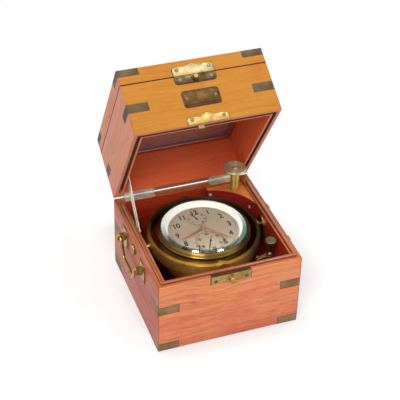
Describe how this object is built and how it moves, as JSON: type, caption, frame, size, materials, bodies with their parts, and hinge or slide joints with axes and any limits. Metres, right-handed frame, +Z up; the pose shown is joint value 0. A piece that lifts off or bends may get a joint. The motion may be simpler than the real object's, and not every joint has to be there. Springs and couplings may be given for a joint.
{
  "type": "marine chronometer",
  "caption": "Boxed marine chronometer: square brass-bound wooden case with a hinged glazed tier and top lid, drop handles, winding key, lid stay and a gimballed brass bowl with dial and hands.",
  "frame": {"origin": "middle of the underside of the case", "axes": "+Z up out of the case, +X to the right of the case's front, -Y towards the viewer who faces the latch plate"},
  "size_m": [0.2154, 0.2729, 0.3155],
  "materials": {
    "case_wood": "satin",
    "lid_wood": "satin",
    "baize": "matte",
    "aged_brass": "satin",
    "nickel_silver": "satin",
    "bright_brass": "satin",
    "instrument_brass": "polished",
    "steel_pins": "satin",
    "clear_glass": "gloss",
    "silvered": "satin",
    "gilt_hands": "polished",
    "blued_steel": "polished"
  },
  "bodies": {
    "case": {"case_walls": "case_wood", "case_floor": "case_wood", "base_baize": "baize", "case_straps": "aged_brass", "rim_tongue": "case_wood", "latch_plate": "bright_brass", "bracket_bolts": "bright_brass", "gimbal_brackets": "bright_brass", "handle_plates_left": "bright_brass", "handle_plates_right": "bright_brass", "hinge_leaves_case": "nickel_silver", "hinge_pins": "steel_pins", "stay_pin": "bright_brass", "corner_block": "case_wood", "lock_bracket": "bright_brass"},
    "latch_button": {"latch_button": "bright_brass"},
    "handle_left": {"handle_left": "bright_brass"},
    "handle_right": {"handle_right": "bright_brass"},
    "lock": {"lock_arm": "bright_brass", "lock_spindle": "bright_brass"},
    "key": {"key_shank": "bright_brass", "key_head": "bright_brass"},
    "middle_tier": {"middle_walls": "lid_wood", "middle_straps": "aged_brass", "glazing_beads": "lid_wood", "window_pane": "clear_glass", "pane_fillets": "lid_wood", "hook_plate": "bright_brass", "keeper_plate": "bright_brass", "nameplate": "aged_brass", "stay_pivot": "bright_brass", "hinge_leaves_middle": "nickel_silver", "top_hinge_lower_leaves": "nickel_silver", "top_hinge_pins": "steel_pins"},
    "keeper_button": {"keeper_button": "bright_brass"},
    "top_lid": {"top_walls": "lid_wood", "top_straps": "aged_brass", "top_panel": "lid_wood", "top_latch_plate": "bright_brass", "top_hinge_upper_leaves": "nickel_silver"},
    "stay": {"stay_arm": "bright_brass"},
    "gimbal_ring": {"gimbal_ring": "aged_brass", "ring_pivots": "instrument_brass"},
    "bowl": {"bowl_shell": "instrument_brass", "bowl_pivots": "instrument_brass", "bezel": "instrument_brass", "bowl_glass": "clear_glass", "reflector_ring": "silvered", "dial": "silvered", "movement_plates": "instrument_brass", "movement_pillars": "instrument_brass", "balance_cock": "instrument_brass"},
    "shutter": {"winding_shutter": "instrument_brass"},
    "barrel": {"mainspring_barrel": "instrument_brass"},
    "fusee": {"fusee": "instrument_brass"},
    "balance": {"balance": "instrument_brass"},
    "seconds_hand": {"seconds_hand": "blued_steel"},
    "reserve_hand": {"reserve_hand": "gilt_hands"},
    "hour_hand": {"hour_hand": "gilt_hands"},
    "minute_hand": {"minute_hand": "gilt_hands"}
  },
  "joints": [
    {"name": "lid_hinge", "type": "hinge", "parent": "case", "child": "middle_tier", "pos_m": [0, 0.0962, 0.10615], "axis": [-1, 0, 0], "range_deg": [-59, 0]},
    {"name": "top_lid_hinge", "type": "hinge", "parent": "middle_tier", "child": "top_lid", "pos_m": [0, 0.15406, 0.14092], "axis": [-1, 0, 0], "range_deg": [0, 100]},
    {"name": "stay_swing", "type": "hinge", "parent": "middle_tier", "child": "stay", "pos_m": [0, 0.09653, 0.16895], "axis": [1, 0, 0], "range_deg": [-29.5, 0]},
    {"name": "ring_tilt", "type": "hinge", "parent": "case", "child": "gimbal_ring", "pos_m": [0, 0.0055, 0.09], "axis": [1, 0, 0], "range_deg": [-40, 40]},
    {"name": "bowl_tilt", "type": "hinge", "parent": "gimbal_ring", "child": "bowl", "pos_m": [0, 0.0055, 0.09], "axis": [0, 1, 0], "range_deg": [-40, 40]},
    {"name": "handle_left_swing", "type": "hinge", "parent": "case", "child": "handle_left", "pos_m": [-0.103, 0.0055, 0.0845], "axis": [0, 1, 0], "range_deg": [0, 110]},
    {"name": "handle_right_swing", "type": "hinge", "parent": "case", "child": "handle_right", "pos_m": [0.103, 0.0055, 0.0845], "axis": [0, -1, 0], "range_deg": [0, 110]},
    {"name": "key_lift", "type": "slide", "parent": "case", "child": "key", "axis": [0, 0, 1], "range_m": [0, 0.034]},
    {"name": "lock_swing", "type": "hinge", "parent": "case", "child": "lock", "pos_m": [0.0735, -0.045, 0.078], "axis": [0, 0, 1], "range_deg": [-43, 0]},
    {"name": "latch_button_push", "type": "slide", "parent": "case", "child": "latch_button", "axis": [0, 1, 0], "range_m": [0, 0.0018], "stiffness_N_per_m": 500, "springref_m": -0.0002},
    {"name": "keeper_button_push", "type": "slide", "parent": "middle_tier", "child": "keeper_button", "axis": [0, 0.515, -0.8572], "range_m": [0, 0.0018], "stiffness_N_per_m": 500, "springref_m": -0.0002},
    {"name": "shutter_turn", "type": "hinge", "parent": "bowl", "child": "shutter", "pos_m": [0, 0.0055, 0.0384], "axis": [0, 0, 1], "range_deg": [0, 90]},
    {"name": "fusee_turn", "type": "hinge", "parent": "bowl", "child": "fusee", "pos_m": [0.016, 0.0055, 0.07], "axis": [0, 0, 1], "continuous": true},
    {"name": "barrel_turn", "type": "hinge", "parent": "bowl", "child": "barrel", "pos_m": [-0.0205, 0.0055, 0.0757], "axis": [0, 0, 1], "continuous": true},
    {"name": "balance_swing", "type": "hinge", "parent": "bowl", "child": "balance", "pos_m": [0, 0.0275, 0.05], "axis": [0, 0, 1], "range_deg": [-135, 135], "stiffness_Nm_per_rad": 0.0002},
    {"name": "seconds_turn", "type": "hinge", "parent": "bowl", "child": "seconds_hand", "pos_m": [0.00134, -0.01706, 0.098], "axis": [0, 0, -1], "continuous": true},
    {"name": "minute_turn", "type": "hinge", "parent": "bowl", "child": "minute_hand", "pos_m": [0, 0.0055, 0.101], "axis": [0, 0, -1], "continuous": true},
    {"name": "hour_turn", "type": "hinge", "parent": "bowl", "child": "hour_hand", "pos_m": [0, 0.0055, 0.1], "axis": [0, 0, -1], "continuous": true},
    {"name": "reserve_turn", "type": "hinge", "parent": "bowl", "child": "reserve_hand", "pos_m": [-0.00134, 0.02806, 0.098], "axis": [0, 0, -1], "range_deg": [-120, 150]}
  ],
  "couplings": [
    {"joint": "stay_swing", "follows": "lid_hinge", "ratio": 0.5},
    {"joint": "barrel_turn", "follows": "fusee_turn", "ratio": 1},
    {"joint": "minute_turn", "follows": "seconds_turn", "ratio": 0.016667},
    {"joint": "hour_turn", "follows": "seconds_turn", "ratio": 0.0013889}
  ]
}
